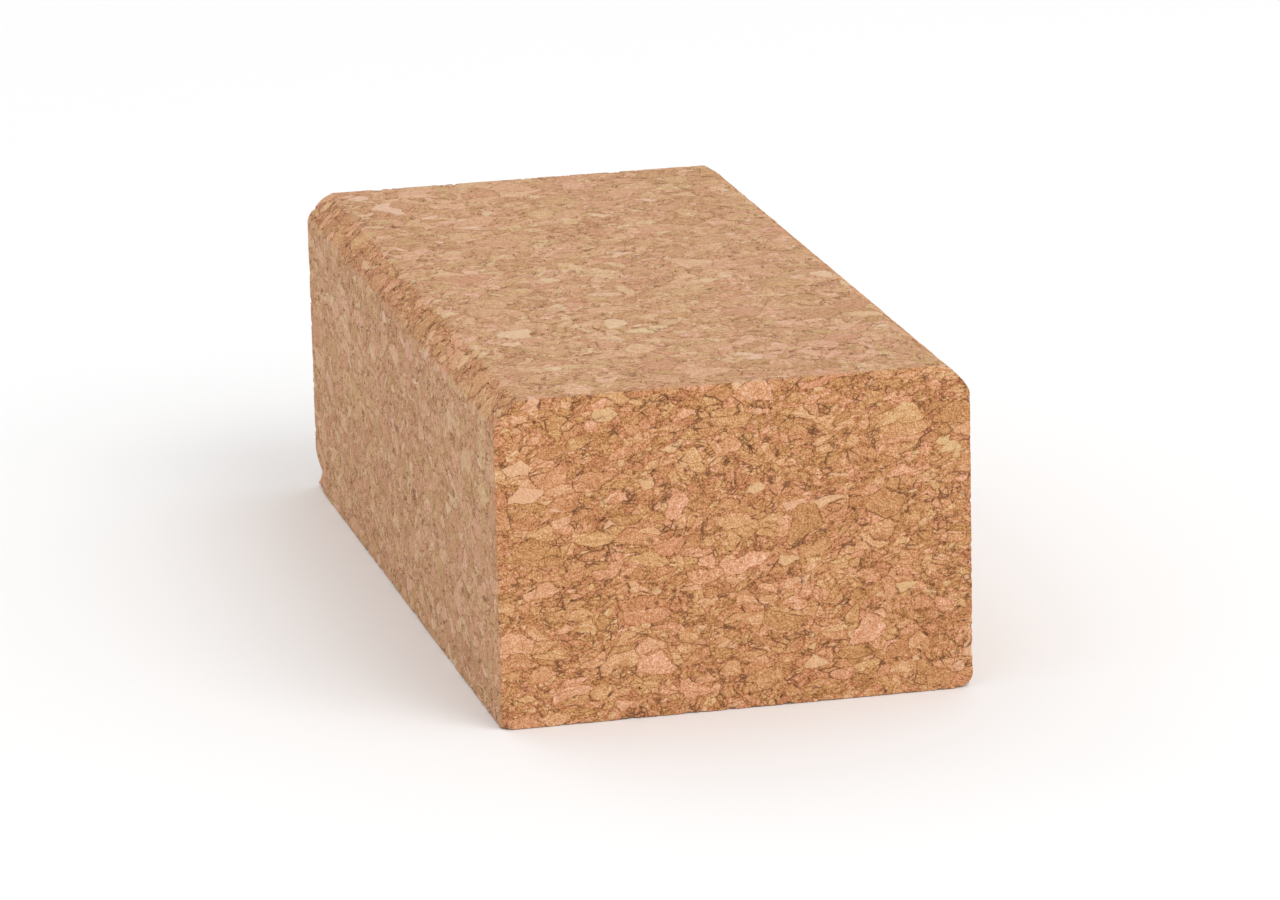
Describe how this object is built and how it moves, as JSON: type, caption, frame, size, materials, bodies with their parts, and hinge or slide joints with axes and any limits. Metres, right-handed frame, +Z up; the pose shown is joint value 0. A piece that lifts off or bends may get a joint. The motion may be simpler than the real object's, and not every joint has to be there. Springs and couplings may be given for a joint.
{
  "type": "sanding block",
  "caption": "Brick-shaped hand sanding block of granulated pressed cork with its long top edges rounded; loose abrasive paper is folded around it.",
  "frame": {"origin": "middle of the flat sanding face, on the surface the block rests on", "axes": "+Z up, from the sanding face to the face under the palm; +Y along the block; +X across it"},
  "size_m": [0.06, 0.12, 0.0415],
  "materials": {
    "cork_block": "matt"
  },
  "bodies": {
    "root": {"cork_block": "cork_block"}
  },
  "joints": []
}
